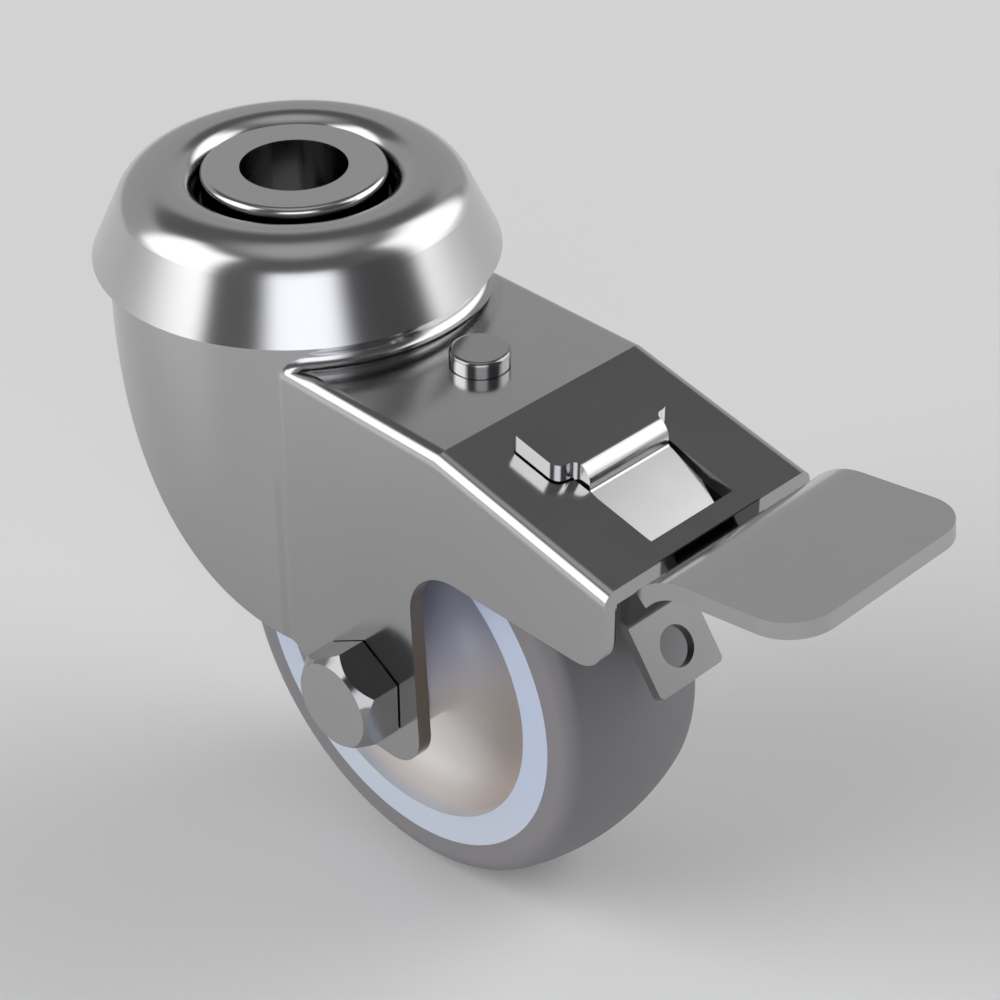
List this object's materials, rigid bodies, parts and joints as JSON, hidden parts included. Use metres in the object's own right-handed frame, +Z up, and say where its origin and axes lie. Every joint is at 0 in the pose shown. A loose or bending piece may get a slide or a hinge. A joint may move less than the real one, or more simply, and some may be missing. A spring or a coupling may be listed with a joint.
{
  "type": "braked swivel caster",
  "caption": "Small swivel caster with a bolt hole through its head, a pressed fork, a rubber-tyred wheel and a foot pedal that presses a brake leaf on the tyre",
  "frame": {"origin": "on the axis of the bolt hole, in the plane of the head's top face, which is the mounting face", "axes": "+Z is up along the bolt hole, +X runs back over the brake pedal, +Y runs across the wheel along its axle"},
  "size_m": [0.0931, 0.0408, 0.0681],
  "materials": {
    "zinc_plate": "satin zinc-plated pressed steel",
    "polished_plate": "bright plated steel",
    "ball_steel": "polished steel balls",
    "wheel_plastic": "smooth pale blue-grey plastic",
    "bush_plastic": "plain pale bearing plastic",
    "tyre_rubber": "soft grey rubber"
  },
  "bodies": {
    "head": {"swivel_cap": "polished_plate", "bolt_sleeve": "zinc_plate", "upper_balls": "ball_steel", "lower_balls": "ball_steel", "lower_race": "zinc_plate"},
    "fork": {"fork": "zinc_plate", "leaf_rivet": "zinc_plate", "axle_bolt": "polished_plate", "axle_washer": "zinc_plate", "axle_nut": "polished_plate", "axle_sleeve": "zinc_plate"},
    "wheel": {"wheel_centre": "wheel_plastic", "bush_near": "bush_plastic", "bush_far": "bush_plastic", "tyre": "tyre_rubber"},
    "pedal": {"brake_pedal": "zinc_plate"},
    "leaf": {"brake_leaf": "zinc_plate"}
  },
  "joints": [
    {"name": "swivel", "type": "hinge", "parent": "head", "child": "fork", "pos_m": [0, 0, 0], "axis": [0, 0, 1], "continuous": true},
    {"name": "wheel_spin", "type": "hinge", "parent": "fork", "child": "wheel", "pos_m": [0.023, 0, -0.0431], "axis": [0, 1, 0], "continuous": true},
    {"name": "pedal_press", "type": "hinge", "parent": "fork", "child": "pedal", "pos_m": [0.0436, 0, -0.0138], "axis": [0, 1, 0], "range_deg": [0, 28]},
    {"name": "leaf_bend", "type": "hinge", "parent": "fork", "child": "leaf", "pos_m": [0.0226, 0, -0.01387], "axis": [0, 1, 0], "range_deg": [0, 8.1]}
  ],
  "couplings": [
    {"joint": "leaf_bend", "follows": "pedal_press", "ratio": 0.286}
  ]
}
